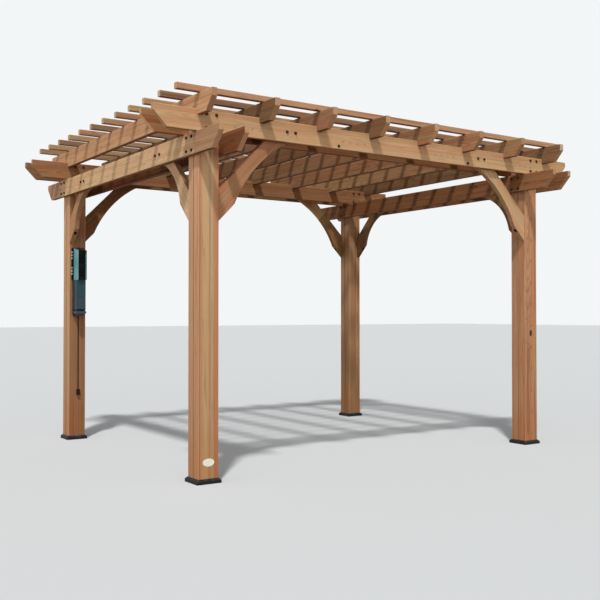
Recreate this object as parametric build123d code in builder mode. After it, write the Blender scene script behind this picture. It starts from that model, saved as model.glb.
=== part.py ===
from build123d import *
import os
from math import sqrt

# Wooden pergola on four posts, an open frame with a slatted top.
# Millimetres. X runs along the front, Y from front to back, Z up.
# The origin is on the ground, midway between the four posts.

# Posts
post_width = 138
bay_length = 2888
bay_depth = 2286
clear_height = 2003
edge_ease = 3
glue_line_width = 5
glue_line_depth = 3

# Base skirts
skirt_height = 31
skirt_wall = 14.2
skirt_bevel = 12
skirt_clearance = 0.3

# Beams, in pairs of boards that clasp the posts
board_thickness = 32
board_height = 133
side_beam_overhang = 381
cross_beam_overhang = 385
beam_tail_plumb = 40
beam_tail_run = 90

# Rafters, notched over the cross beams
rafter_count = 8
rafter_mark_offset = 98.5
rafter_thickness = 38
rafter_height = 128
rafter_overhang = 284
rafter_tail_plumb = 48
rafter_tail_run = 70
notch_depth = 35
notch_clearance = 1

# Purlins, the slats that lie across the rafters
purlin_count = 12
purlin_setback = 161
purlin_width = 38
purlin_height = 38
purlin_overhang = 154.5

# Braces, arched boards in the corners under the beams
brace_thickness = 40
brace_ease = 2
cross_brace_reach = 665
cross_brace_width = 143
cross_brace_foot = 112
cross_brace_waist = 83
side_brace_reach = 530
side_brace_width = 134
side_brace_foot = 118
side_brace_waist = 70
brace_bolt_rise = 84
bolt_hole_diameter = 10
counterbore_diameter = 24
bolt_seat = 50

# Power box on the back left post: a housing on a tray, with its lead
housing_width = 78
housing_shift = 4
housing_depth = 100
housing_ease = 3
box_height = 276
lid_height = 150
seam_height = 4
seam_depth = 2
tray_height = 19
tray_lip = 4
tray_gap = 9
tray_gap_inset = 5
foot_height = 18
foot_inset = 9

# Hood over the sockets, above the housing
hood_clearance = 31
hood_width = 70
hood_depth = 120
hood_height = 265
hood_drop = 25
hood_wall = 3
hood_recess = 22
flange_width = 104
flange_thickness = 8
flange_ease = 6

# Lead, with its moulded plug
lead_shift = 6
lead_diameter = 8
lead_clearance = 0.3
plug_width = 26
plug_depth = 22
plug_height = 47
plug_bottom = 365
plug_ease = 5

# Places that follow from the sizes above
half_post = post_width / 2
half_length = bay_length / 2
half_depth = bay_depth / 2
side_beam_top = clear_height + board_height
cross_beam_top = side_beam_top + board_height
rafter_top = cross_beam_top - notch_depth + rafter_height
side_beam_length = bay_depth + 2 * side_beam_overhang
cross_beam_length = bay_length + 2 * cross_beam_overhang
rafter_length = bay_depth + 2 * rafter_overhang
rafter_marks_span = bay_length + 2 * rafter_mark_offset
rafter_spacing = rafter_marks_span / (rafter_count - 1)
purlin_rows_span = rafter_length - 2 * purlin_setback
purlin_spacing = purlin_rows_span / (purlin_count - 1)
purlin_length = rafter_marks_span + 2 * purlin_overhang
up = Vector(0, 0, 1)
ends = (("left", -1), ("right", 1))
rows = (("front", -1), ("back", 1))

os.makedirs("parts", exist_ok=True)


def upright(origin, normal):
    """A standing plane that faces along normal, with its own Y axis straight up."""
    return Plane(origin=origin, x_dir=up.cross(normal), z_dir=normal)


def tailed_outline(length, height, plumb, run):
    """Side view of a board on edge, top edge on the X axis, its two ends cut back below."""
    half = length / 2
    Polyline(
        (-half, 0),
        (half, 0),
        (half, -plumb),
        (half - run, -height),
        (run - half, -height),
        (-half, -plumb),
        close=True,
    )


def ease_long_edges(board, axis):
    """Takes the sharpness off the top and bottom edges that run along the board."""
    along = board.edges().filter_by(axis).group_by(Axis.Z)
    chamfer(along[0] + along[-1], edge_ease)


def ease_outline(brace, axis):
    """Takes the sharpness off the edges round the two faces that look along the axis."""
    chamfer(brace.faces().filter_by(axis).edges(), brace_ease)


def brace_outline(reach, width, foot, waist):
    """Side view of a corner brace: X is out from the post, Y is up to the top of the beam.

    The back edge and the two ends of the front edge lie at 45 degrees. Between its two
    straight feet the front edge is an arc that leaves the waist's thickness in the middle.
    """
    inner_reach = reach - width * sqrt(2)
    arch_crown = (inner_reach + waist * sqrt(2)) / 2
    Polyline(
        (foot, foot - reach),
        (0, -reach),
        (0, -inner_reach),
        (inner_reach, 0),
        (reach, 0),
        (reach - foot, -foot),
    )
    ThreePointArc((reach - foot, -foot), (arch_crown, -arch_crown), (foot, foot - reach))


def drill_foot(corner, out, inward, reach):
    """Sinks the foot's bolt hole level into the post, from the slanting end of the brace."""
    mouth = brace_bolt_rise + counterbore_diameter / 2
    height = brace_bolt_rise - reach
    start = Vector(*corner) + out * mouth + up * height + inward * (brace_thickness / 2)
    with Locations(Plane(origin=start, z_dir=out)):
        CounterBoreHole(
            radius=bolt_hole_diameter / 2,
            counter_bore_radius=counterbore_diameter / 2,
            counter_bore_depth=mouth - bolt_seat,
            depth=mouth,
        )


# Posts, each two timbers glued face to face, with the joint showing on two sides
for end_name, end in ends:
    for row_name, row in rows:
        with BuildPart() as post:
            with BuildSketch(Plane(origin=(end * half_length, row * half_depth, 0))) as section:
                Rectangle(post_width, post_width)
                chamfer(section.vertices(), edge_ease)
                for face in (-1, 1):
                    with BuildLine():
                        Polyline(
                            (face * half_post, -glue_line_width / 2),
                            (face * (half_post - glue_line_depth), 0),
                            (face * half_post, glue_line_width / 2),
                            close=True,
                        )
                    make_face(mode=Mode.SUBTRACT)
            extrude(amount=cross_beam_top)
        post.part.label = f"post_{row_name}_{end_name}"
        export_step(post.part, f"parts/post_{row_name}_{end_name}.step")

# Base skirts, a bevelled collar round the foot of each post
for end_name, end in ends:
    for row_name, row in rows:
        bore = post_width + 2 * skirt_clearance
        outside = bore + 2 * skirt_wall
        with BuildPart() as skirt:
            with BuildSketch(Plane(origin=(end * half_length, row * half_depth, 0))):
                Rectangle(outside, outside)
                Rectangle(bore, bore, mode=Mode.SUBTRACT)
            extrude(amount=skirt_height)
            rim = skirt.faces().sort_by(Axis.Z)[-1].outer_wire().edges()
            chamfer(rim, skirt_bevel)
        skirt.part.label = f"base_skirt_{row_name}_{end_name}"
        export_step(skirt.part, f"parts/base_skirt_{row_name}_{end_name}.step")

# Side beams, from front to back, one board on the outer and one on the inner face
for end_name, end in ends:
    for face_name, face in (("outer", end), ("inner", -end)):
        seat = upright((end * half_length + face * half_post, 0, side_beam_top), Vector(face, 0, 0))
        with BuildPart() as side_beam:
            with BuildSketch(seat):
                with BuildLine():
                    tailed_outline(side_beam_length, board_height, beam_tail_plumb, beam_tail_run)
                make_face()
            extrude(amount=board_thickness)
            ease_long_edges(side_beam, Axis.Y)
        side_beam.part.label = f"side_beam_{end_name}_{face_name}"
        export_step(side_beam.part, f"parts/side_beam_{end_name}_{face_name}.step")

# Cross beams, from left to right, resting on the side beams
for row_name, row in rows:
    for face_name, face in (("outer", row), ("inner", -row)):
        seat = upright((0, row * half_depth + face * half_post, cross_beam_top), Vector(0, face, 0))
        with BuildPart() as cross_beam:
            with BuildSketch(seat):
                with BuildLine():
                    tailed_outline(cross_beam_length, board_height, beam_tail_plumb, beam_tail_run)
                make_face()
            extrude(amount=board_thickness)
            ease_long_edges(cross_beam, Axis.X)
        cross_beam.part.label = f"cross_beam_{row_name}_{face_name}"
        export_step(cross_beam.part, f"parts/cross_beam_{row_name}_{face_name}.step")

# Cross braces, behind the outer boards of the cross beams
for row_name, row in rows:
    for end_name, end in ends:
        corner = (end * (half_length - half_post), row * (half_depth + half_post), cross_beam_top)
        out = Vector(-end, 0, 0)
        with BuildPart() as cross_brace:
            with BuildSketch(Plane(origin=corner, x_dir=out, z_dir=out.cross(up))):
                with BuildLine():
                    brace_outline(
                        cross_brace_reach, cross_brace_width, cross_brace_foot, cross_brace_waist
                    )
                make_face()
            inward = Vector(0, -row, 0)
            extrude(amount=brace_thickness, dir=inward)
            ease_outline(cross_brace, Axis.Y)
            drill_foot(corner, out, inward, cross_brace_reach)
        cross_brace.part.label = f"cross_brace_{row_name}_{end_name}"
        export_step(cross_brace.part, f"parts/cross_brace_{row_name}_{end_name}.step")

# Side braces, behind the outer boards of the side beams
for row_name, row in rows:
    for end_name, end in ends:
        corner = (end * (half_length + half_post), row * (half_depth - half_post), side_beam_top)
        out = Vector(0, -row, 0)
        with BuildPart() as side_brace:
            with BuildSketch(Plane(origin=corner, x_dir=out, z_dir=out.cross(up))):
                with BuildLine():
                    brace_outline(side_brace_reach, side_brace_width, side_brace_foot, side_brace_waist)
                make_face()
            inward = Vector(-end, 0, 0)
            extrude(amount=brace_thickness, dir=inward)
            ease_outline(side_brace, Axis.X)
            drill_foot(corner, out, inward, side_brace_reach)
        side_brace.part.label = f"side_brace_{row_name}_{end_name}"
        export_step(side_brace.part, f"parts/side_brace_{row_name}_{end_name}.step")

# Rafters, each on the right of its mark, with one notch over each pair of boards
notch_width = post_width + 2 * (board_thickness + notch_clearance)
for count in range(rafter_count):
    mark = count * rafter_spacing - rafter_marks_span / 2
    with BuildPart() as rafter:
        with BuildSketch(upright((mark, 0, rafter_top), Vector(1, 0, 0))):
            with BuildLine():
                tailed_outline(rafter_length, rafter_height, rafter_tail_plumb, rafter_tail_run)
            make_face()
            with Locations((-half_depth, -rafter_height), (half_depth, -rafter_height)):
                Rectangle(notch_width, 2 * notch_depth, mode=Mode.SUBTRACT)
        extrude(amount=rafter_thickness)
        ease_long_edges(rafter, Axis.Y)
    rafter.part.label = f"rafter_{count + 1}"
    export_step(rafter.part, f"parts/rafter_{count + 1}.step")

# Purlins, counted from the front
for count in range(purlin_count):
    place = count * purlin_spacing - purlin_rows_span / 2
    with BuildPart() as purlin:
        with BuildSketch(upright((-purlin_length / 2, place, rafter_top), Vector(1, 0, 0))):
            Rectangle(purlin_width, purlin_height, align=(Align.CENTER, Align.MIN))
        extrude(amount=purlin_length)
        ease_long_edges(purlin, Axis.X)
    purlin.part.label = f"purlin_{count + 1}"
    export_step(purlin.part, f"parts/purlin_{count + 1}.step")

# Power box, on the front face of the back left post: foot, tray, dark gap, housing with its lid
box_top = side_beam_top - side_brace_reach - hood_clearance - hood_height
box_bottom = box_top - box_height
housing_bottom = box_bottom + tray_height + tray_gap
seam_bottom = box_top - lid_height
mounting_y = half_depth - half_post
mounting_face = upright((-half_length, mounting_y, 0), Vector(0, -1, 0))
levels = (
    (box_bottom - foot_height, box_bottom, foot_inset),
    (box_bottom, box_bottom + tray_height, -tray_lip),
    (box_bottom + tray_height, housing_bottom, tray_gap_inset),
    (housing_bottom, seam_bottom, 0),
    (seam_bottom, seam_bottom + seam_height, seam_depth),
    (seam_bottom + seam_height, box_top, 0),
)
with BuildPart() as power_box:
    for low, high, inset in levels:
        with BuildSketch(Plane(origin=(-half_length - housing_shift, mounting_y, low))) as plan:
            Rectangle(housing_width - 2 * inset, housing_depth - inset, align=(Align.CENTER, Align.MAX))
            chamfer(plan.vertices().group_by(Axis.Y)[0], housing_ease)
        extrude(amount=high - low)
power_box.part.label = "power_box"
export_step(power_box.part, "parts/power_box.step")

# Hood over the sockets, a shell with a sloping top and a set-back face, on a flange
side_plane = Plane(origin=(-half_length, mounting_y, box_top), x_dir=(0, -1, 0), z_dir=(-1, 0, 0))
with BuildPart() as socket_hood:
    with BuildSketch(side_plane):
        with BuildLine():
            Polyline(
                (0, 0), (hood_depth, 0), (hood_depth, hood_height - hood_drop), (0, hood_height), close=True
            )
        make_face()
    extrude(amount=hood_width / 2, both=True)
    with BuildSketch(mounting_face):
        with Locations((0, box_top)):
            Rectangle(flange_width, hood_height, align=(Align.CENTER, Align.MIN))
    extrude(amount=flange_thickness)
    flange_corners = socket_hood.edges().filter_by(Axis.Y).group_by(Axis.X)
    fillet(flange_corners[0] + flange_corners[-1], flange_ease)
    with BuildSketch(mounting_face.offset(hood_depth)):
        with Locations((0, box_top + hood_wall)):
            Rectangle(
                hood_width - 2 * hood_wall,
                hood_height - hood_drop - 3 * hood_wall,
                align=(Align.CENTER, Align.MIN),
            )
    extrude(amount=-hood_recess, mode=Mode.SUBTRACT)
socket_hood.part.label = "socket_hood"
export_step(socket_hood.part, "parts/socket_hood.step")

# Lead down the face of the post, with its moulded plug at the end
lead_radius = lead_diameter / 2
lead_x = lead_shift - half_length
lead_top = box_bottom - foot_height
lead_middle = mounting_y - lead_clearance - lead_radius
plug_middle = mounting_y - lead_clearance - plug_depth / 2
with BuildPart() as power_lead:
    with BuildSketch(Plane(origin=(lead_x, lead_middle, plug_bottom + plug_height / 2))):
        Circle(lead_radius)
    extrude(amount=lead_top - plug_bottom - plug_height / 2)
    with BuildSketch(Plane(origin=(lead_x, plug_middle, plug_bottom))):
        RectangleRounded(plug_width, plug_depth, plug_ease)
    extrude(amount=plug_height)
power_lead.part.label = "power_lead"
export_step(power_lead.part, "parts/power_lead.step")
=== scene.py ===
import random
from math import cos, pi, radians, sin, sqrt

import bmesh
import bpy
from bpy.props import FloatProperty, FloatVectorProperty, PointerProperty
from mathutils import Matrix, Vector


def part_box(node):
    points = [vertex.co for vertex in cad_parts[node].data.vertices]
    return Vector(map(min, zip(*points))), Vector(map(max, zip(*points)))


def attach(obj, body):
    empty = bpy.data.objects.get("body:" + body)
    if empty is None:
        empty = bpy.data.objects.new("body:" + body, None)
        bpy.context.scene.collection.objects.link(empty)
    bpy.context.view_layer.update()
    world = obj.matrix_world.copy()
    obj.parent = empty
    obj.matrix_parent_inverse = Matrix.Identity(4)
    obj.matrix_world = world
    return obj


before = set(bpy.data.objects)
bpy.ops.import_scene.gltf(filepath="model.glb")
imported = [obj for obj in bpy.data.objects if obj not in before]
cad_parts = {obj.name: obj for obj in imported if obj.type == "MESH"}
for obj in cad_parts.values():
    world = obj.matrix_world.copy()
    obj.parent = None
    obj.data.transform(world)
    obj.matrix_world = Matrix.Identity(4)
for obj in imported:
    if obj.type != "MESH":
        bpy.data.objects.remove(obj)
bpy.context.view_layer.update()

# Looks of a timber pergola, laid over its packed solids.
# Metres. X runs along the front, Y from front to back, Z up.

bl_info = {
    "name": "Timber pergola looks",
    "version": (1, 0, 0),
    "blender": (4, 5, 0),
    "location": "View3D > Sidebar > Pergola",
    "description": "Finishes the pergola's timber, metal and power box, and sets its stage",
    "category": "Object",
}

ENDS = (("left", -1), ("right", 1))
ROWS = (("front", -1), ("back", 1))
ALONG_X = Vector((1, 0, 0))
ALONG_Y = Vector((0, 1, 0))
UPWARD = Vector((0, 0, 1))

# Places that follow from the packed solids
POST_LOW, POST_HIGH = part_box("post_front_right")
POST_WIDTH = POST_HIGH.x - POST_LOW.x
HALF_LENGTH = (POST_HIGH.x + POST_LOW.x) / 2
HALF_DEPTH = -(POST_HIGH.y + POST_LOW.y) / 2
SIDE_BEAM_LOW, SIDE_BEAM_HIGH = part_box("side_beam_right_outer")
CROSS_BEAM_LOW, CROSS_BEAM_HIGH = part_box("cross_beam_front_outer")
BOARD_THICKNESS = SIDE_BEAM_HIGH.x - SIDE_BEAM_LOW.x
SIDE_BEAM_MIDDLE = (SIDE_BEAM_LOW.z + SIDE_BEAM_HIGH.z) / 2
CROSS_BEAM_MIDDLE = (CROSS_BEAM_LOW.z + CROSS_BEAM_HIGH.z) / 2
RAFTERS = [f"rafter_{count + 1}" for count in range(8)]
PURLINS = [f"purlin_{count + 1}" for count in range(12)]

# Places that the packed solids don't give by their boxes
LOW_BOLTS = (-0.480, 0.721)  # along the front beam
FOOT_BOLT_RISE = 0.084  # above the lower end of a brace
FOOT_BOLT_SEAT = 0.050  # out from the post
FOOT_BORE = 0.012  # radius
CURVED_EDGE = 1.0  # half width given to a brace, whose arched edges get no worn line with its painted highlight
LID_SEAM = 1.161
# painted shade: the gap under the housing is coloured black for its shade
SHADED_TRAY_GAP = (1.0525, 1.0710)
TRAY_LEDGE = (1.0340, 1.0525)
HOOD_RECESS = 0.022
HOOD_FLANGE_EDGE = 0.0170  # from the flange's right edge to the hood's right wall
OUTLET_HEIGHTS = (1.375, 1.480)
HINGE_FEET = (1.354, 1.482)
HINGE_STAND = 0.0095  # from the housing's back to the middle of a knuckle

# The eye that saw the pergola, and where the sun stood
CAMERA_PLACE = (-3.969, -5.925, 1.034)
CAMERA_LENS = 52.37
CAMERA_SENSOR = 36
CAMERA_REACH = 500
CAMERA_YAW = 34.15
CAMERA_RISE = 0.89
SUN_FROM = (-0.40, -0.50, 1.0)
SKY_TURN = 0.80  # how high the sky's light turns from low to high

# Knots
KNOT_STRETCH = 0.62  # how much a step along the grain counts, against one across
KNOT_CELL = 0.21  # width of the cell of board that holds at most one
KNOT_FREE = 0.72  # share of the cells with none


def colour(name, value, words):
    """A colour property, in linear light."""
    return FloatVectorProperty(
        name=name, description=words, default=value, subtype="COLOR", min=0, max=1
    )


def number(name, value, words, **more):
    """A property that is a plain number, or has the subtype that it is given."""
    return FloatProperty(name=name, description=words, default=value, **more)


def length(name, value, words):
    """A size property, in metres."""
    return number(name, value, words, unit="LENGTH", min=0, precision=4)


class TimberSettings(bpy.types.PropertyGroup):
    """Colours and grain of the stained cedar"""

    honey_pale: colour("Honey, pale", (0.66, 0.405, 0.200), "Early wood of the yellow tan boards")
    honey_deep: colour("Honey, deep", (0.46, 0.245, 0.105), "Late wood of the yellow tan boards")
    rose_pale: colour("Rose, pale", (0.60, 0.295, 0.155), "Early wood of the pink boards")
    rose_deep: colour("Rose, deep", (0.40, 0.165, 0.075), "Late wood of the pink boards")
    pink: colour("Pink", (0.66, 0.285, 0.155), "Pink streaks, found in all boards")
    straw: colour("Straw", (0.58, 0.385, 0.200), "Straw coloured streaks, found in all boards")
    red: colour("Red", (0.60, 0.225, 0.110), "Red heartwood strip along an edge")
    olive_pale: colour("Olive, pale", (0.52, 0.330, 0.165), "Early wood of the drab boards")
    olive_deep: colour("Olive, deep", (0.34, 0.195, 0.088), "Late wood of the drab boards")
    end_grain: colour("End grain", (0.63, 0.345, 0.185), "Sawn ends of the boards")
    pale_end: colour("Pale ends", (0.62, 0.50, 0.36), "Blunt ends that took up no stain")
    knot_heart: colour("Knot heart", (0.13, 0.050, 0.024), "Middle of a knot")
    pin_knot: colour("Pin knot", (0.24, 0.15, 0.068), "Pin knots, which stand in rows")
    # painted shade: the bolt holes' walls are near black for the shade inside them
    shaded_bore: colour("Bores", (0.022, 0.012, 0.007), "Walls of the bolt holes in the braces' feet")
    red_knot: colour("Red knot", (0.36, 0.13, 0.045), "Knots of the front right post")
    knot_rim: colour("Knot rim", (0.070, 0.028, 0.014), "Bark line round a knot")
    joint: colour("Glue joint", (0.17, 0.085, 0.045), "Shaded joint between a post's two halves")
    ring_spacing: length("Ring spacing", 0.0034, "Distance between two growth rings")
    band_width: length("Band width", 0.017, "Width of the bands that groups of rings make")
    # the paler line along an eased edge is partly wear and partly a painted highlight
    highlit_worn_edge: length("Worn edge", 0.0055, "Width of the paler line along an eased edge")
    knot_reach: length("Knot reach", 0.62, "Length of board in which at most one knot falls")


class FixingSettings(bpy.types.PropertyGroup):
    """Sizes and colours of the bolts, the screws and the skirts"""

    metal: colour("Metal", (0.060, 0.029, 0.011), "Dark coating of bolts and washers")
    metal_dust: colour("Metal dust", (0.16, 0.12, 0.08), "Dust on bolts and washers")
    skirt: colour("Skirt", (0.006, 0.009, 0.011), "Coat of the base skirts")
    skirt_dust: colour("Skirt dust", (0.20, 0.20, 0.21), "Dust on the ledges of the skirts")
    screw_metal: colour("Screw metal", (0.16, 0.13, 0.10), "Coating of the screws on the purlins")
    washer_diameter: length("Washer diameter", 0.021, "Across a bolt's washer")
    washer_thickness: length("Washer thickness", 0.002, "Thickness of a bolt's washer")
    head_width: length("Head width", 0.0145, "Across the flats of a bolt's head")
    head_height: length("Head height", 0.0065, "Height of a bolt's head")
    post_columns: length("Post bolts, across", 0.070, "Between the two columns of bolts at a post")
    post_rows: length("Post bolts, upright", 0.084, "Between the two rows of bolts at a post")
    cross_brace_near: length("Cross brace, near bolt", 0.481, "Nearer bolt, from the post")
    cross_brace_far: length("Cross brace, far bolt", 0.546, "Farther bolt's distance from the post")
    side_brace_near: length("Side brace, near bolt", 0.352, "Nearer bolt, from the post")
    side_brace_far: length("Side brace, far bolt", 0.416, "Farther bolt's distance from the post")
    low_bolt_rise: length("Low bolts, rise", 0.020, "The front beam's low bolts, above its foot")
    screw_diameter: length("Screw diameter", 0.0095, "Across the head of a purlin screw")


class BoxSettings(bpy.types.PropertyGroup):
    """Colours and small parts of the power box"""

    enamel: colour("Enamel", (0.004, 0.006, 0.007), "Gloss coat of the hood")
    # painted reflection: the lid's teal and the drawer's blue grey stand for sky mirrored in the
    # housing's black gloss
    lid_reflection: colour("Lid", (0.025, 0.075, 0.083), "Upper half of the housing")
    drawer_reflection: colour("Drawer", (0.041, 0.070, 0.097), "Lower half of the housing")
    # painted highlight: the pale ledge on the tray's upper faces
    ledge_highlight: colour("Tray", (0.10, 0.11, 0.125), "Ledge under the housing")
    side: colour("Housing side", (0.007, 0.030, 0.048), "Left side of the housing")
    # painted reflection: pale blue for sky mirrored in the hood's black gloss, paler at its top and
    # foot
    painted_reflection: colour("Hood side", (0.175, 0.385, 0.42), "Pale side of the hood, at its top and foot")
    painted_reflection_middle: colour("Hood side, middle", (0.115, 0.32, 0.35), "Hood's side, halfway up")
    # painted highlight: the pale line stands for light caught on the right wall's front edge
    edge: colour("Hood edge", (0.56, 0.68, 0.60), "Worn front edge of the hood's right wall")
    socket: colour("Sockets", (0.0035, 0.0045, 0.005), "Socket faces inside the hood")
    knuckle: colour("Knuckles", (0.62, 0.56, 0.50), "Hinge knuckles on the flange")
    sheath: colour("Sheath", (0.012, 0.008, 0.006), "Sheath of the lead")
    knuckle_diameter: length("Knuckle diameter", 0.009, "Across a hinge knuckle")
    knuckle_length: length("Knuckle length", 0.013, "Length of a hinge knuckle")
    knuckle_gap: length("Knuckle gap", 0.012, "Between two hinge knuckles")
    outlet_width: length("Socket width", 0.038, "Across a socket's moulding")
    outlet_height: length("Socket height", 0.068, "Height of a socket's moulding")
    outlet_depth: length("Socket depth", 0.005, "How far a socket's moulding stands out")
    outlet_diameter: length("Socket face", 0.027, "Across each of a socket's two round faces")


class PlateSettings(bpy.types.PropertyGroup):
    """The bare oval plate on the front left post"""

    face: colour("Face", (0.90, 0.90, 0.75), "Cream enamel of the plate")
    width: length("Width", 0.079, "Longer axis of the oval")
    height: length("Height", 0.048, "Shorter axis of the oval")
    thickness: length("Thickness", 0.0016, "How far the plate stands off the post")
    middle: length("Middle", 0.129, "Height of its middle above the ground")
    rim: length("Rim", 0.0035, "Width of its raised rim")


class StageSettings(bpy.types.PropertyGroup):
    """Floor, light and camera"""

    floor: colour("Floor", (0.70, 0.71, 0.72), "The plain pale floor, as it is seen")
    floor_bounce: colour("Floor, bounce", (0.20, 0.165, 0.13), "The floor, as it lights the timber")
    backdrop: colour("Backdrop", (0.90, 0.92, 0.93), "The plain pale background, as it is seen")
    sky: colour("Sky", (0.925, 0.95, 0.955), "Even light from all round")
    sun: colour("Sun", (0.95, 0.955, 0.945), "The soft key light")
    floor_size: length("Floor size", 120.0, "Side of the floor")
    sky_low: number("Low sky", 1.12, "Strength of the level light")
    sky_high: number("High sky", 0.20, "Strength of the light from above")
    sky_lean: FloatVectorProperty(
        name="Lean",
        description="Way from which more of the sky's light comes, and how much more",
        default=(-0.52, -0.48, 0.0),
    )
    sun_strength: number("Sun strength", 2.5, "Strength of the key light")
    sun_spread: number("Sun spread", radians(4), "Softness of the key light", subtype="ANGLE")


SETTINGS = {
    "timber": TimberSettings,
    "fixing": FixingSettings,
    "power": BoxSettings,
    "plate": PlateSettings,
    "stage": StageSettings,
}


def settings(name):
    """The scene's values of one group of settings."""
    return getattr(bpy.context.scene, f"pergola_{name}")


class Wire:
    """An output socket that takes part in sums: each operator adds one Math node."""

    def __init__(self, finish, socket):
        self.finish = finish
        self.socket = socket

    def other(self, name):
        """Another output of the same node."""
        return Wire(self.finish, self.socket.node.outputs[name])

    def __add__(self, term):
        return self.finish.sum("ADD", self, term)

    def __radd__(self, term):
        return self.finish.sum("ADD", term, self)

    def __sub__(self, term):
        return self.finish.sum("SUBTRACT", self, term)

    def __rsub__(self, term):
        return self.finish.sum("SUBTRACT", term, self)

    def __mul__(self, term):
        return self.finish.sum("MULTIPLY", self, term)

    def __rmul__(self, term):
        return self.finish.sum("MULTIPLY", term, self)

    def __truediv__(self, term):
        return self.finish.sum("DIVIDE", self, term)

    def __rtruediv__(self, term):
        return self.finish.sum("DIVIDE", term, self)

    def __abs__(self):
        return self.finish.sum("ABSOLUTE", self)

    def __gt__(self, term):
        return self.finish.sum("GREATER_THAN", self, term)


class Finish:
    """A material, or the world, whose nodes are wired by plain expressions."""

    def __init__(self, name, kind="materials"):
        self.made = getattr(bpy.data, kind).new(name)
        self.made.use_nodes = True
        self.tree = self.made.node_tree
        self.tree.nodes.clear()

    def node(self, kind, options=None, values=(), output=None):
        """Adds a node: its options are set first, then the values or wires of its sockets."""
        node = self.tree.nodes.new(kind)
        for key, value in (options or {}).items():
            setattr(node, key, value)
        sockets = [socket for socket in node.inputs if socket.enabled]
        if isinstance(values, dict):
            named = {socket.name: socket for socket in sockets}
            pairs = [(named[key], value) for key, value in values.items()]
        else:
            pairs = list(zip(sockets, values))
        for socket, value in pairs:
            if isinstance(value, Wire):
                self.tree.links.new(value.socket, socket)
            else:
                socket.default_value = value
        shown = {socket.name: socket for socket in node.outputs if socket.enabled}
        return Wire(self, shown.get(output) or next(iter(shown.values()), None))

    def sum(self, operation, *terms):
        return self.node("ShaderNodeMath", {"operation": operation}, terms)

    def vector_sum(self, operation, *terms):
        return self.node("ShaderNodeVectorMath", {"operation": operation}, terms)

    def dot(self, first, second):
        return self.vector_sum("DOT_PRODUCT", first, second)

    def scaled(self, place, factor):
        return self.vector_sum("MULTIPLY", place, (factor, factor, factor))

    def place(self):
        """Where a point lies, in metres."""
        return self.node("ShaderNodeTexCoord", output="Object")

    def normal(self):
        """The way that a point of the surface faces."""
        return self.node("ShaderNodeNewGeometry", output="Normal")

    def point(self, x, y, z):
        return self.node("ShaderNodeCombineXYZ", None, [x, y, z])

    def split(self, vector):
        return self.node("ShaderNodeSeparateXYZ", None, [vector])

    def channels(self, value):
        return self.node("ShaderNodeSeparateColor", None, [value])

    def ramp(self, value, low, high, foot=0.0, top=1.0):
        """Climbs smoothly from 0 at low to 1 at high, or from foot to top."""
        options = {"interpolation_type": "SMOOTHSTEP", "clamp": True}
        values = {"Value": value, "From Min": low, "From Max": high, "To Min": foot, "To Max": top}
        return self.node("ShaderNodeMapRange", options, values)

    def fall(self, value, low, high):
        """Falls smoothly from 1 at low to 0 at high."""
        return self.ramp(value, low, high, 1.0, 0.0)

    def within(self, value, low, high, soft):
        """1 between low and high, 0 outside, with a soft step at each."""
        return self.ramp(value, low - soft, low + soft) * self.fall(value, high - soft, high + soft)

    def noise(self, place, detail=2.0, roughness=0.5, output=None):
        values = {"Vector": place, "Scale": 1.0, "Detail": detail, "Roughness": roughness}
        return self.node("ShaderNodeTexNoise", {"noise_dimensions": "3D"}, values, output)

    def grit(self, place, factor, detail=2.0):
        """Noise that is that much finer than a metre."""
        return self.noise(self.scaled(place, factor), detail)

    def mix(self, share, under, over, blend="MIX"):
        """Lays one colour over another."""
        options = {"data_type": "RGBA", "blend_type": blend, "clamp_factor": True}
        return self.node("ShaderNodeMix", options, [share, paint(under), paint(over)])

    def seen(self):
        """1 for what the camera sees, straight, by a gloss or by a glass, else 0."""
        rays = self.node("ShaderNodeLightPath", output="Is Camera Ray")
        shown = self.sum("MAXIMUM", rays, rays.other("Is Glossy Ray"))
        return self.sum("MAXIMUM", shown, rays.other("Is Transmission Ray"))

    def surface(self, **values):
        """Ends the material in one shader, whose sockets are named in the words of its panel."""
        words = {key: key.replace("_", " ").title().replace("Ior", "IOR") for key in values}
        named = {words[key]: value for key, value in values.items()}
        shader = self.node("ShaderNodeBsdfPrincipled", None, named)
        self.node("ShaderNodeOutputMaterial", None, {"Surface": shader})
        return self.made

    def bump(self, height, depth, normal=None):
        """A bump of that height, in metres."""
        values = {"Strength": 1.0, "Distance": depth, "Height": height}
        if normal is not None:
            values["Normal"] = normal
        return self.node("ShaderNodeBump", None, values)


def paint(value):
    """A colour as a socket takes it."""
    if isinstance(value, Wire):
        return value
    return (*[min(channel, 2.0) for channel in value[:3]], 1.0)


def shade(value, share):
    """A plain colour made darker or lighter by a share."""
    return [channel * share for channel in value[:3]]


def between(first, second, share):
    """A plain colour part of the way from the first to the second."""
    return [a + (b - a) * share for a, b in zip(first[:3], second[:3])]


LOOKS = {
    "glued": False,
    "back_tone": ("rose_pale", 0.4),
    "seam": 1.0,
    "flat": 1.0,
    "figure": 1.0,
    "stripes": (),
    "knots": None,
    "pins": None,
    "zones": (),
    "fade": None,
    "under": None,
    "upper": None,
    "ends": None,
    "screws": None,
    "shaded_bore": None,
}


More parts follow.
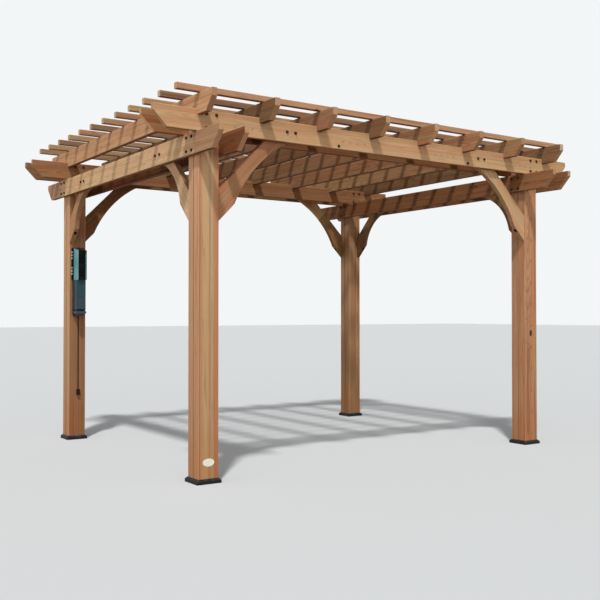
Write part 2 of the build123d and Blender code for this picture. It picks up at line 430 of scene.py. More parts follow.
class Board:
    """One timber: where it lies, which way it grew and what it looks like.

    Its tone is its share of rose, its share of olive, how deep the stain went in, and a level.
    Glued boards are two halves: back_tone is the (colour, strength) that the far half leans to,
    and seam is how dark the joint between them shows.
    Flat is the level of its broad faces, and figure is how strongly rings and veins show.
    Stripes are (middle across, half width, colour, strength) bands that run its whole length.
    Knots are (along, across, radius); with none given they are scattered by chance.
    Pins are rows of pin knots: (start, reach, repeat, spacing, across, radius, colour).
    Zones are (start, stop, softness, tint) stretches of its length, from its middle.
    Fade is the pair of tints from its low end to its high end.
    Under and upper tint its lower and its upper faces.
    Ends are how far its sawn ends show end grain, how pale the blunt ones are and a level.
    Screws are the (first, spacing) of the screws sunk in its top.
    Bore is the (point, direction) of the axis of the bolt hole in its foot.
    """

    def __init__(self, node, grain, broad, tone, **looks):
        self.node = node
        self.grain = grain.normalized()
        self.broad = broad.normalized()
        self.thin = self.grain.cross(self.broad)
        low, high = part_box(node)
        self.centre = (low + high) / 2
        self.half_long, self.half_broad, self.half_thin = (
            abs((high - low).dot(way)) / 2 for way in (self.grain, self.broad, self.thin)
        )
        self.rose, self.olive, self.stain, self.level = tone
        for name, usual in LOOKS.items():
            setattr(self, name, looks.get(name, usual))

    def stained(self, value):
        """A colour as this board's stain leaves it: deeper and darker."""
        return [self.level * channel ** (1 + self.stain) for channel in value[:3]]

    def tone(self, timber, which):
        """Its pale or its deep colour."""
        names = (f"{hue}_{which}" for hue in ("honey", "rose", "olive"))
        honey, rose, olive = (getattr(timber, name) for name in names)
        return self.stained(between(between(honey, rose, self.rose), olive, self.olive))


def apart(finish, gap_along, gap_across):
    """The distance to a knot, shorter along the grain, as knots are longer that way."""
    gap_along = gap_along * KNOT_STRETCH
    return finish.sum("SQRT", gap_along * gap_along + gap_across * gap_across)


def given_knots(finish, board, along, across):
    """How far out of the nearest given knot a point lies, 1 at its rim, and the knots' size."""
    nearest = None
    for spot_along, spot_across, size in board.knots:
        place = apart(finish, along - spot_along, across - spot_across) / size
        nearest = place if nearest is None else finish.sum("MINIMUM", nearest, place)
    return nearest, board.knots[0][2]


def chance_knots(finish, timber, along, across, luck):
    """The same for knots scattered by chance, at most one in each cell of the board."""
    shifted_along = along / timber.knot_reach + luck.uniform(0, 90)
    shifted_across = across / KNOT_CELL + luck.uniform(0, 90)
    spot = finish.point(shifted_along, shifted_across, 0.0)
    cell = finish.node(
        "ShaderNodeTexVoronoi",
        {"voronoi_dimensions": "2D", "feature": "F1"},
        {"Vector": spot, "Scale": 1.0, "Randomness": 1.0},
    )
    chance = finish.channels(cell.other("Color"))
    middle = finish.split(cell.other("Position"))
    gap_along = (shifted_along - middle) * timber.knot_reach
    gap_across = (shifted_across - middle.other("Y")) * KNOT_CELL
    size = chance.other("Green") * 0.006 + 0.004
    absent = finish.sum("MAXIMUM", (KNOT_FREE - chance) * 40, 0.0)
    return apart(finish, gap_along, gap_across) / size + absent, size


def pin_knots(finish, board, along, across):
    """Rows of pin knots, which repeat along the board: 1 in a knot, 0 outside."""
    start, reach, repeat, spacing, middle, size, _ = board.pins
    in_row = finish.sum("FRACT", (along - start) / repeat) * repeat
    in_step = (finish.sum("FRACT", in_row / spacing) - 0.5) * spacing
    place = apart(finish, in_step, across - middle) / size
    return finish.fall(place, 0.4, 1.5) * finish.sum("LESS_THAN", in_row, reach)


def log_rings(finish, luck, place, half):
    """The distance from the pith, which lies beside the board and drifts along it, and the drift.

    Place is (along, across, through), and a glued board's halves come from two logs.
    """
    along, across, through = place
    if half is not None:
        along = along + half * luck.uniform(3, 9)
        through = through + half * luck.uniform(0.05, 0.12)
    offset = luck.uniform(0, 50)
    spot = finish.point(along * 0.9 + offset, across * 3.5, through * 3.5)
    drift = finish.channels(finish.noise(spot, 2.0, 0.5, "Color"))
    pith_across = luck.uniform(-0.035, 0.035)
    pith_through = luck.choice((-1, 1)) * luck.uniform(0.035, 0.10)
    lean = along * luck.uniform(-0.014, 0.014)
    reach_across = across + (drift - 0.5) * 0.050 - pith_across
    reach_through = through + (drift.other("Green") - 0.5) * 0.050 - pith_through + lean
    radius = finish.sum("SQRT", reach_across * reach_across + reach_through * reach_through)
    return radius, drift, (along, across, through), offset


def sawn_ends(finish, board, timber, now, facing, streaks):
    """Lays end grain over the sawn ends: the blunt ones pale, the raked ones at their own level."""
    share, paleness, level = board.ends
    endwise = abs(finish.dot(facing, board.grain))
    blunt = shade(between(timber.end_grain, timber.pale_end, paleness), min(level, 1.0))
    sawn = finish.mix(finish.ramp(endwise, 0.93, 0.97), shade(timber.end_grain, level), blunt)
    sawn = finish.mix((streaks - 0.4) * 1.6, sawn, (0.72, 0.70, 0.68), "MULTIPLY")
    return finish.mix(finish.ramp(endwise, 0.30, 0.45) * share, now, sawn)


def sunk_screws(finish, board, along, depth_in, slope):
    """Heads of the screws sunk in its top, and the dark sockets in them: 1 on them, 0 elsewhere."""
    first, spacing = board.screws
    step = (along + (board.centre.x - first)) / spacing + 0.5
    gap = (finish.sum("FRACT", step) - 0.5) * spacing
    reach = finish.sum("SQRT", gap * gap + depth_in * depth_in)
    reach = reach * (2 / settings("fixing").screw_diameter)
    head = finish.fall(reach, 0.92, 1.08) * finish.ramp(slope, 0.90, 0.95)
    return head, head * finish.fall(reach, 0.28, 0.40)


def timber_finish(board):
    """Stained cedar for one board: rings cut from a log, bands, fibres, knots and worn edges."""
    timber = settings("timber")
    luck = random.Random(board.node)
    finish = Finish(f"cedar_{board.node}")
    place = finish.place()
    local = finish.vector_sum("SUBTRACT", place, board.centre)
    along = finish.dot(local, board.grain)
    across = finish.dot(local, board.broad)
    depth_in = finish.dot(local, board.thin)
    edge = finish.sum("MAXIMUM", board.half_broad - abs(across), board.half_thin - abs(depth_in))
    half = depth_in > 0.0 if board.glued else None
    radius, drift, log_place, offset = log_rings(finish, luck, (along, across, depth_in), half)
    length_in, _, through = log_place

    # Knots push the rings aside
    knot = heart = None
    if board.knots is None or board.knots:
        if board.knots:
            knot_place, knot_size = given_knots(finish, board, along, across)
        else:
            knot_place, knot_size = chance_knots(finish, timber, length_in, across, luck)
        knot = finish.fall(knot_place, 0.9, 1.15)
        heart = finish.fall(knot_place, 0.35, 0.85)
        radius = radius + finish.sum("EXPONENT", knot_place * knot_place * -0.10) * knot_size * 1.7

    # Rings, the bands that they group into, streaks, veins and fibres
    def figure(long_scale, cross_scale, *rest, shift=offset):
        spot = (length_in * long_scale + shift, across * cross_scale, through * cross_scale)
        return finish.noise(finish.point(*spot), *rest)

    turn = finish.sum("FRACT", radius / timber.ring_spacing + drift.other("Blue") * 3.0)
    late = finish.ramp(turn, 0.35, 0.90) * finish.fall(turn, 0.92, 1.0)
    banded = finish.point(radius / timber.band_width, length_in * 0.3 + offset, 0.0)
    bands = finish.noise(banded, 3.0, 0.6)
    streaks = finish.channels(figure(0.8, 62.0, 3.0, 0.55, "Color"))
    vein = finish.fall(finish.sum("FRACT", figure(0.45, 30.0, 1.0) * 7.0), 0.0, 0.16)
    fibres = figure(8.0, 560.0, 2.0, 0.6, shift=0.0)
    patch = finish.channels(figure(1.5, 26.0, 2.0, 0.55, "Color"))

    # the tone's level and stain are partly painted shade in the boards under the roof
    pale, deep = board.tone(timber, "pale"), board.tone(timber, "deep")
    now = finish.mix((bands - 0.5) * 2.5 + (streaks - 0.5) * 2.0 + 0.40, pale, deep)
    if board.glued:
        name, strength = board.back_tone
        now = finish.mix(half * strength, now, board.stained(getattr(timber, name)))
    for tint, broad_patch, fine_streak in (
        (timber.pink, patch, streaks.other("Green")),
        (timber.straw, patch.other("Green"), streaks.other("Blue")),
    ):
        share = finish.ramp(broad_patch, 0.46, 0.66) + finish.ramp(fine_streak, 0.50, 0.64)
        now = finish.mix(share * 0.50, now, board.stained(tint))
    for middle, half_width, name, strength in board.stripes:
        swerve = (patch.other("Blue") - 0.5) * 0.020 + (streaks - 0.5) * 0.008
        gap = abs(across + swerve - middle)
        share = finish.fall(gap, half_width * 0.5, half_width * 1.3) * strength
        now = finish.mix(share, now, board.stained(getattr(timber, name)))
    now = finish.mix(late * (0.36 * board.figure), now, shade(deep, 0.55))
    now = finish.mix(vein * (0.40 * board.figure), now, shade(deep, 0.50))
    now = finish.mix(finish.ramp(fibres, 0.48, 0.78) * 0.36, now, shade(deep, 0.66))
    # painted light and shade along the board
    if board.fade:
        climb = along / (2 * board.half_long) + 0.5
        now = finish.mix(1.0, now, finish.mix(climb, *board.fade), "MULTIPLY")
    # some zones paint light and shade: lit tails and shaded corners of the beams, a lit stretch of
    # a brace
    for start, stop, soft, tint in board.zones:
        now = finish.mix(finish.within(along, start, stop, soft), now, tint, "MULTIPLY")
    if board.pins:
        pinned = board.stained(getattr(timber, board.pins[-1]))
        now = finish.mix(pin_knots(finish, board, along, across) * 0.5, now, pinned)

    # Painted light and shade on the broad faces, the lower and upper faces and the sawn ends, and
    # worn edges with a painted highlight
    facing = finish.normal()
    # partly the board's tone and partly painted light and shade: broad faces set lighter or darker
    # than the narrow ones
    if board.flat != 1.0:
        flat = finish.ramp(abs(finish.dot(facing, board.thin)), 0.75, 0.95)
        level = [board.flat ** 0.8, board.flat, board.flat ** 1.1]
        now = finish.mix(flat, now, level, "MULTIPLY")
    slope = finish.split(facing).other("Z")
    # painted shade on the lower faces
    if board.under:
        now = finish.mix(finish.fall(slope, -0.97, -0.92), now, board.under, "MULTIPLY")
    # painted shade on the upper faces
    if board.upper:
        now = finish.mix(finish.ramp(slope, 0.25, 0.45), now, board.upper, "MULTIPLY")
    # painted light and shade on the sawn ends, by their level
    if board.ends:
        now = sawn_ends(finish, board, timber, now, facing, streaks)
    # partly wear and partly a painted highlight: a paler line along the eased edges
    worn = finish.fall(edge, 0.0022, timber.highlit_worn_edge) * finish.ramp(streaks, 0.30, 0.60)
    now = finish.mix(worn * 0.25, now, timber.end_grain)

    # Knots, the glue joint, painted shade in the bore and in the screws' sockets, and the screws
    height = late * 0.5 + fibres * 0.7
    if knot is not None:
        now = finish.mix(knot, now, timber.knot_rim)
        now = finish.mix(heart * 0.85, now, timber.knot_heart)
        height = height - knot * 0.4 + heart * 0.5
    if board.glued:
        off_joint = abs(depth_in)
        seam = finish.fall(off_joint, 0.0008, 0.0045) * 0.75
        seam = seam + finish.fall(off_joint, 0.002, 0.011) * 0.25
        now = finish.mix(seam * board.seam, now, board.stained(timber.joint))
    # painted shade: near black on the walls of the bolt hole in a brace's foot
    if board.shaded_bore:
        point, direction = board.shaded_bore
        aside = finish.vector_sum("SUBTRACT", place, point)
        reach = finish.vector_sum("LENGTH", finish.vector_sum("CROSS_PRODUCT", aside, direction))
        inside = finish.fall(reach, FOOT_BORE * 1.01, FOOT_BORE * 1.06)
        now = finish.mix(inside * 0.9, now, timber.shaded_bore)
    if board.screws:
        metal = settings("fixing").screw_metal
        head, socket = sunk_screws(finish, board, along, depth_in, slope)
        now = finish.mix(head, now, metal)
        # painted shade: the screws' sockets darkened for the shade in the recess
        now = finish.mix(socket, now, shade(metal, 0.2))
        height = height - head * 1.5
    return finish.surface(
        base_color=now,
        roughness=0.70 - late * 0.12 + fibres * 0.12,
        specular_ior_level=0.14,
        normal=finish.bump(height, 0.0005),
    )


def dress(node, material):
    """Gives a packed solid its finish."""
    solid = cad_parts.get(node)
    if solid is None:
        raise RuntimeError(f"the packed model has no {node}")
    if not solid.material_slots:
        solid.data.materials.append(None)
    for slot in solid.material_slots:
        slot.material = material


def new_piece(name, mesh, material, sharp=35):
    """Makes a piece of a bmesh, shaded smooth up to an angle, and fastens it to the frame."""
    data = bpy.data.meshes.new(name)
    bmesh.ops.recalc_face_normals(mesh, faces=mesh.faces)
    mesh.to_mesh(data)
    mesh.free()
    data.polygons.foreach_set("use_smooth", [True] * len(data.polygons))
    data.set_sharp_from_angle(angle=radians(sharp))
    data.materials.append(material)
    piece = bpy.data.objects.new(name, data)
    bpy.context.scene.collection.objects.link(piece)
    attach(piece, "root")
    return piece


def facing_place(point, outward):
    """The placing of something made on the XY plane, standing along Z, onto a face."""
    return Matrix.Translation(point) @ Vector(outward).to_track_quat("Z", "Y").to_matrix().to_4x4()


def turned(mesh, profile, sides, place):
    """Adds a turned solid: profile is (radius, height) from the foot's middle to the top's."""
    rings = []
    for radius, height in profile:
        if radius == 0:
            rings.append([mesh.verts.new(place @ Vector((0, 0, height)))])
            continue
        turns = [2 * pi * step / sides for step in range(sides)]
        spots = [Vector((radius * cos(turn), radius * sin(turn), height)) for turn in turns]
        rings.append([mesh.verts.new(place @ spot) for spot in spots])
    for lower, upper in zip(rings, rings[1:]):
        for step in range(sides):
            ahead = (step + 1) % sides
            corners = [lower[step % len(lower)], lower[ahead % len(lower)]]
            corners += [upper[ahead % len(upper)], upper[step % len(upper)]]
            mesh.faces.new(list(dict.fromkeys(corners)))


def block(mesh, low, high, ease):
    """Adds a box with eased edges between two corners."""
    low, high = Vector(low), Vector(high)
    made = bmesh.ops.create_cube(mesh, size=1.0)
    place = Matrix.Translation((low + high) / 2) @ Matrix.Diagonal((*(high - low), 1))
    bmesh.ops.transform(mesh, matrix=place, verts=made["verts"])
    edges = list({edge for vert in made["verts"] for edge in vert.link_edges})
    bmesh.ops.bevel(mesh, geom=edges, offset=ease, segments=2, profile=0.5, affect="EDGES")


def coated_metal(fixing):
    """Dark coated metal, dusty in places."""
    finish = Finish("bolt_coating")
    place = finish.place()
    grit = finish.grit(place, 900.0)
    dust = finish.ramp(finish.grit(place, 60.0, 3.0), 0.48, 0.75) * 0.15
    return finish.surface(
        base_color=finish.mix(dust, fixing.metal, fixing.metal_dust),
        roughness=0.42 + grit * 0.2,
        specular_ior_level=0.1,
        normal=finish.bump(grit, 0.0002),
    )


def moulding(name, skin, change, share, fine, roughness, patches=None, relief=None, **shader):
    """A moulded skin of one colour, which a share of it changes, over a fine grain.

    Fine and patches are how many to the metre, and roughness is (least, how much the grain adds).
    """
    finish = Finish(name)
    place = finish.place()
    grain = finish.grit(place, fine)
    cloud = finish.grit(place, patches) if patches else grain
    if relief:
        shader["normal"] = finish.bump(grain, relief)
    return finish.surface(
        base_color=finish.mix(cloud * share, skin, shade(skin, change)),
        roughness=roughness[0] + grain * roughness[1],
        **shader,
    )


class PERGOLA_OT_posts(bpy.types.Operator):
    """Finish the four glued posts"""

    bl_idname = "pergola.posts"
    bl_label = "Posts"

    def execute(self, context):
        figure = (
            (-0.069, 0.003, "pink", 0.50),
            (-0.060, 0.005, "rose_deep", 0.80),
            (-0.048, 0.006, "pink", 0.55),
            (-0.034, 0.009, "honey_pale", 0.75),
            (-0.015, 0.013, "honey_pale", 0.75),
            (0.009, 0.004, "olive_deep", 0.45),
            (0.030, 0.012, "straw", 0.55),
            (0.046, 0.013, "rose_deep", 0.42),
            (0.060, 0.014, "red", 0.90),
        )
        # painted shade: the posts warmer and darker near the foot
        foot = ((-2.0, -0.86, 0.16, (0.98, 0.88, 0.80)),)
        # painted shade and shadow: a lighter left edge, the face darker towards the lead and
        # darkest at 0.012 in its shadow; the back right post takes the same stripes
        lead_shade_stripes = (
            (-0.062, 0.009, "honey_pale", 0.4),
            (-0.030, 0.008, "red", 0.6),
            (0.012, 0.004, "rose_deep", 0.7),
            (0.045, 0.006, "red", 0.5),
        )
        looks = {
            "post_front_left": {
                "tone": (0.40, 0.0, -0.03, 1.07),
                "flat": 0.97,
                "stripes": figure,
                "knots": (),
                "back_tone": ("olive_pale", 0.6),
            },
            "post_front_right": {
                "tone": (1.0, 0.0, 0.03, 1.00),
                "knots": ((-0.255, 0.0, 0.015),),
                "pins": (-1.13, 2.2, 2.3, 0.17, 0.004, 0.011, "red_knot"),
                "seam": 0.6,
            },
            "post_back_left": {
                "tone": (0.45, 0.0, 0.0, 1.02),
                "flat": 0.60,
                "stripes": lead_shade_stripes,
                "knots": (),
            },
            "post_back_right": {"tone": (0.75, 0.0, 0.08, 0.69), "flat": 1.29, "stripes": lead_shade_stripes},
        }
        # painted light and shade: the posts darker at the foot and lighter at the top
        shared = {"glued": True, "fade": ((0.86, 0.85, 0.84), (1.13, 1.18, 1.24)), "zones": foot}
        for node, look in looks.items():
            dress(node, timber_finish(Board(node, UPWARD, ALONG_X, **shared, **look)))
        return {"FINISHED"}


class PERGOLA_OT_beams(bpy.types.Operator):
    """Finish the side beams and the cross beams"""

    bl_idname = "pergola.beams"
    bl_label = "Beams"

    def execute(self, context):
        # Stretches from the middle: the tails past the posts, up to beyond the ends of any beam,
        # and the corners inside them, which get painted shade; two inner beams' tails get painted
        # light
        end, tail, cross_tail = 3, 1.20, 1.51
        corner_shade, warm, lit = (0.42, 0.32, 0.28), (0.655, 0.58, 0.59), (1.30, 1.42, 1.60)
        warm_tails = ((-end, -tail, 0.02, warm), (tail, end, 0.02, warm))
        lit_tails = ((-end, -cross_tail, 0.02, lit), (cross_tail, end, 0.02, lit))
        corners = ((-1.40, -0.98, 0.10, (0.28, 0.17, 0.14)), (0.98, 1.40, 0.10, corner_shade))
        side_shade_and_light = (
            (-1.10, -0.45, 0.15, (0.37, 0.24, 0.20)),
            (0.70, 1.10, 0.08, corner_shade),
            (-end, -tail, 0.02, (1.14, 1.35, 1.60)),
        )
        looks = {
            "side_beam_left_outer": {
                "tone": (0.05, 0.20, -0.15, 1.20),
                "zones": warm_tails,
                "knots": (),
                "ends": (0.8, 0.0, 1.15),
            },
            "side_beam_left_inner": {
                "tone": (0.85, 0.0, 0.60, 0.61),
                "zones": side_shade_and_light,
                "ends": (1.0, 0.0, 1.05),
            },
            "side_beam_right_outer": {"tone": (0.70, 0.1, 0.30, 0.66), "ends": (0.7, 0.6, 1.1)},
            "side_beam_right_inner": {
                "tone": (0.70, 0.1, 0.30, 0.64),
                # painted light and shade, darker towards the back
                "fade": ((1.18, 1.16, 1.22), (0.80, 0.74, 0.66)),
                "ends": (0.7, 0.0, 1.0),
            },
            "cross_beam_front_outer": {
                "tone": (0.0, 0.22, -0.07, 1.05),
                "knots": (),
                "figure": 0.6,
                "pins": (-0.475, 0.25, 0.835, 0.062, -0.014, 0.0065, "pin_knot"),
                "stripes": (
                    (0.056, 0.009, "honey_deep", 0.5),
                    (0.040, 0.005, "red", 0.5),
                    (-0.056, 0.008, "honey_pale", 0.6),
                ),
                "ends": (0.4, 0.0, 1.0),
            },
            "cross_beam_front_inner": {
                "tone": (0.95, 0.0, 0.40, 0.74),
                "zones": lit_tails + corners,
                "ends": (0.9, 0.3, 1.8),
            },
            "cross_beam_back_outer": {"tone": (0.40, 0.3, 0.15, 0.55), "ends": (0.5, 0.9, 1.0)},
            "cross_beam_back_inner": {"tone": (0.75, 0.0, 0.17, 0.74), "ends": (0.7, 0.3, 1.0)},
        }
        for node, look in looks.items():
            grain = ALONG_Y if node.startswith("side") else ALONG_X
            # painted shade on the lower faces, deepest on the left outer side beam
            under = (0.42, 0.30, 0.18) if node == "side_beam_left_outer" else (0.60, 0.46, 0.32)
            dress(node, timber_finish(Board(node, grain, UPWARD, under=under, **look)))
        return {"FINISHED"}


def foot_bolts():
    """The braces, as (node, seat of the bolt sunk in its lower end, way out of the post)."""
    for row_name, row in ROWS:
        for end_name, end in ENDS:
            for kind, inward, reach in (
                ("cross", ALONG_X * -end, HALF_LENGTH),
                ("side", ALONG_Y * -row, HALF_DEPTH),
            ):
                node = f"{kind}_brace_{row_name}_{end_name}"
                low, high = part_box(node)
                foot = Vector(((low.x + high.x) / 2, (low.y + high.y) / 2, low.z + FOOT_BOLT_RISE))
                seat = reach - POST_WIDTH / 2 - FOOT_BOLT_SEAT
                yield node, foot - inward * (foot.dot(inward) + seat), inward


class PERGOLA_OT_braces(bpy.types.Operator):
    """Finish the arched braces, whose grain climbs at 45 degrees"""

    bl_idname = "pergola.braces"
    bl_label = "Braces"

    def execute(self, context):
        tones = {
            "cross_brace_front_left": (1.00, 0.0, 0.05, 0.86),
            "cross_brace_front_right": (0.12, 0.1, -0.08, 1.07),
            "cross_brace_back_left": (0.60, 0.2, 0.35, 0.61),
            "cross_brace_back_right": (0.30, 0.4, 0.08, 0.83),
            "side_brace_front_left": (0.10, 0.1, -0.10, 1.15),
            "side_brace_front_right": (0.50, 0.4, 0.22, 0.68),
            "side_brace_back_left": (0.70, 0.0, -0.03, 0.90),
            "side_brace_back_right": (0.60, 0.3, 0.15, 0.47),
        }
        # painted light and shade along three of the braces
        light_climbs = {
            "cross_brace_front_left": ((1.06, 1.02, 1.02), (0.90, 0.86, 0.86)),
            "cross_brace_back_right": ((0.74, 0.70, 0.60), (1.22, 1.25, 1.15)),
            "side_brace_front_left": ((1.04, 1.10, 1.20), (0.80, 0.82, 0.86)),
        }
        # painted light on a stretch of the back right cross brace
        lit = {"cross_brace_back_right": ((-0.10, 0.16, 0.05, (1.40, 1.60, 1.75)),)}
        for node, bore_point, inward in foot_bolts():
            board = Board(
                node,
                inward + UPWARD,
                UPWARD - inward,
                tones[node],
                # painted shade on the brace's upper faces
                upper=(0.42, 0.39, 0.35),
                fade=light_climbs.get(node),
                zones=lit.get(node, ()),
                shaded_bore=(bore_point, inward),
            )
            board.half_broad = CURVED_EDGE
            dress(node, timber_finish(board))
        return {"FINISHED"}


class PERGOLA_OT_rafters(bpy.types.Operator):
    """Finish the rafters"""

    bl_idname = "pergola.rafters"
    bl_label = "Rafters"

    def execute(self, context):
        # painted light and shade along the rafters, darker towards the back
        dimming = ((1.18, 1.20, 1.24), (0.82, 0.76, 0.70))
        slight = ((1.03, 1.02, 1.04), (0.90, 0.84, 0.74))
        level_on = ((0.98, 0.95, 0.92), (1.02, 0.96, 0.86))
        looks = (
            ((0.68, 0.0, -0.05, 1.14), (0.80, 0.0, 0.70), None),
            ((0.45, 0.2, 0.04, 0.45), (0.85, 0.1, 0.95), level_on),
            ((0.85, 0.0, 0.04, 0.62), (0.85, 0.0, 0.95), dimming),
            ((0.55, 0.2, 0.10, 0.49), (0.85, 0.3, 1.10), slight),
            ((0.75, 0.1, 0.08, 0.65), (0.85, 0.3, 1.40), dimming),
            ((0.90, 0.0, 0.07, 0.73), (0.85, 0.0, 0.75), dimming),
            ((0.45, 0.2, -0.02, 0.74), (0.85, 0.2, 0.75), level_on),
            ((0.45, 0.4, 0.07, 0.46), (0.85, 1.0, 1.00), dimming),
        )
        for node, (tone, ends, fade) in zip(RAFTERS, looks):
            # painted shade on the rafters' lower faces, and painted light and shade along them
            look = {"ends": ends, "fade": fade, "under": (0.50, 0.37, 0.24)}
            dress(node, timber_finish(Board(node, ALONG_Y, UPWARD, tone, **look)))
        return {"FINISHED"}


class PERGOLA_OT_purlins(bpy.types.Operator):
    """Finish the purlins, which go from pink to drab and back"""

    bl_idname = "pergola.purlins"
    bl_label = "Purlins"

    def execute(self, context):
        looks = (  # tone, paleness of the ends
            ((0.95, 0.0, -0.07, 0.93), 0.2),
            ((0.85, 0.0, -0.12, 0.55), 1.0),
            ((0.35, 0.2, -0.12, 0.84), 0.5),
            ((0.05, 0.2, -0.12, 0.90), 0.5),
            ((0.95, 0.0, -0.12, 0.69), 0.4),
            ((0.90, 0.0, -0.12, 0.77), 0.3),
            ((0.10, 0.6, -0.12, 0.46), 0.8),
            ((0.70, 0.0, -0.12, 0.67), 0.3),
            ((0.10, 0.4, -0.12, 0.71), 0.6),
            ((0.20, 0.5, -0.12, 0.50), 0.6),
            ((0.35, 0.2, -0.12, 0.75), 0.0),
            ((0.55, 0.0, -0.12, 0.60), 0.4),
        )
        first, second = (sum(corner.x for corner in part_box(rafter)) / 2 for rafter in RAFTERS[:2])
        # painted shade on the purlins' lower faces
        shared = {"screws": (first, second - first), "under": (0.55, 0.44, 0.34)}
        for node, (tone, paleness) in zip(PURLINS, looks):
            board = Board(node, ALONG_X, UPWARD, tone, ends=(0.9, paleness, 1.0), **shared)
            dress(node, timber_finish(board))
        return {"FINISHED"}


class PERGOLA_OT_skirts(bpy.types.Operator):
    """Finish the black skirts round the posts' feet"""

    bl_idname = "pergola.skirts"
    bl_label = "Base skirts"

    def execute(self, context):
        fixing = settings("fixing")
        finish = Finish("skirt_paint")
        place = finish.place()
        grit = finish.grit(place, 700.0)
        level_up = finish.ramp(finish.split(finish.normal()).other("Z"), 0.2, 0.9)
        dust = finish.ramp(finish.grit(place, 22.0, 3.0), 0.40, 0.72) * (level_up * 0.20 + 0.02)
        material = finish.surface(
            base_color=finish.mix(dust, fixing.skirt, fixing.skirt_dust),
            roughness=0.50 + grit * 0.18 + dust * 0.5,
            specular_ior_level=0.22,
            normal=finish.bump(grit, 0.00025),
        )
        for row_name, _ in ROWS:
            for end_name, _ in ENDS:
                dress(f"base_skirt_{row_name}_{end_name}", material)
        return {"FINISHED"}


def bolt(mesh, point, outward, fixing, turn):
    """A hexagon head on its washer."""
    place = facing_place(point, outward)
    washer = fixing.washer_diameter / 2
    thick = fixing.washer_thickness
    ease = thick * 0.3
    disc = ((0, 0), (washer, 0), (washer, thick - ease), (washer - ease, thick), (0, thick))
    turned(mesh, disc, 20, place)
    corner = fixing.head_width / sqrt(3)
    top = thick + fixing.head_height
    lift = fixing.head_height * 0.16
    head = ((0, thick), (corner, thick), (corner, top - lift), (corner * 0.86, top), (0, top))
    turned(mesh, head, 6, place @ Matrix.Rotation(turn, 4, "Z"))


def beam_bolts(fixing):
    """Places of the bolts through the beams, as (name of the group, point, outward)."""
    half_post = POST_WIDTH / 2
    sides = (HALF_LENGTH, HALF_DEPTH, SIDE_BEAM_MIDDLE)
    crosses = (HALF_DEPTH, HALF_LENGTH, CROSS_BEAM_MIDDLE)
    for kind, hands, posts, (reach, spread, middle), braces in (
        ("side", ENDS, ROWS, sides, (fixing.side_brace_near, fixing.side_brace_far)),
        ("cross", ROWS, ENDS, crosses, (fixing.cross_brace_near, fixing.cross_brace_far)),
    ):
        for hand_name, hand in hands:
            for face_name, face in (("outer", hand), ("inner", -hand)):
                spots = []
                for _, post in posts:
                    for step in (-1, 1):
                        across = post * spread + step * fixing.post_columns / 2
                        spots.append((across, middle - fixing.post_rows / 2))
                        spots.append((across, middle + fixing.post_rows / 2))
                    if face_name == "outer":
                        spots += [(post * (spread - half_post - away), middle) for away in braces]
                seat = hand * reach + face * (half_post + BOARD_THICKNESS)
                for across, height in spots:
                    point, outward = Vector((seat, across, height)), Vector((face, 0, 0))
                    if kind == "cross":
                        point, outward = point.yxz, outward.yxz
                    yield f"bolts_{kind}_{hand_name}_{face_name}", point, outward
    front = -(HALF_DEPTH + half_post + BOARD_THICKNESS)
    rise = CROSS_BEAM_LOW.z + fixing.low_bolt_rise
    for across in LOW_BOLTS:
        yield "bolts_cross_front_outer", (across, front, rise), -ALONG_Y


class PERGOLA_OT_bolts(bpy.types.Operator):
    """Add the bolts that clasp the beams and hold the braces"""

    bl_idname = "pergola.bolts"
    bl_label = "Bolts"

    def execute(self, context):
        fixing = settings("fixing")
        material = coated_metal(fixing)
        luck = random.Random("bolts")
        groups = {}
        feet = [("bolts_feet", point, outward) for _, point, outward in foot_bolts()]
        for group, point, outward in [*beam_bolts(fixing), *feet]:
            if group not in groups:
                groups[group] = bmesh.new()
            bolt(groups[group], point, outward, fixing, luck.uniform(0, pi / 3))
        for group, mesh in groups.items():
            slot = "brace_wood" if group == "bolts_feet" else "beam_wood"
            new_piece(group, mesh, material, sharp=30)
        return {"FINISHED"}


def hood_enamel(power):
    """Gloss enamel: black, with a pale left side and a pale line on the right wall's front edge."""
    low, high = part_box("socket_hood")
    finish = Finish("hood_enamel")
    place = finish.place()
    spot = finish.split(place)
    along_y, height = spot.other("Y"), finish.ramp(spot.other("Z"), low.z, high.z)
    off_flange = finish.fall(along_y, high.y - 0.0090, high.y - 0.0085)
    # painted reflection of the sky on the hood's left side
    reflecting_left_side = finish.fall(finish.split(finish.normal()), -0.9, -0.6) * off_flange
    smear = finish.noise(finish.vector_sum("MULTIPLY", place, (160.0, 160.0, 14.0)))
    painted_reflection = finish.mix(finish.fall(abs(height - 0.5), 0.05, 0.5), power.painted_reflection, power.painted_reflection_middle)
    now = finish.mix(reflecting_left_side, power.enamel, painted_reflection)
    # painted highlight along the right wall's front edge
    wall = high.x - HOOD_FLANGE_EDGE
    front_edge = finish.fall(along_y, low.y + 0.0005, low.y + 0.0015)
    highlit_right_edge = finish.ramp(spot, wall - 0.0005, wall + 0.0005) * front_edge
    now = finish.mix(highlit_right_edge * 0.8, now, power.edge)
    return finish.surface(
        base_color=now,
        roughness=0.22 + smear * 0.14,
        specular_ior_level=0.12,
    )


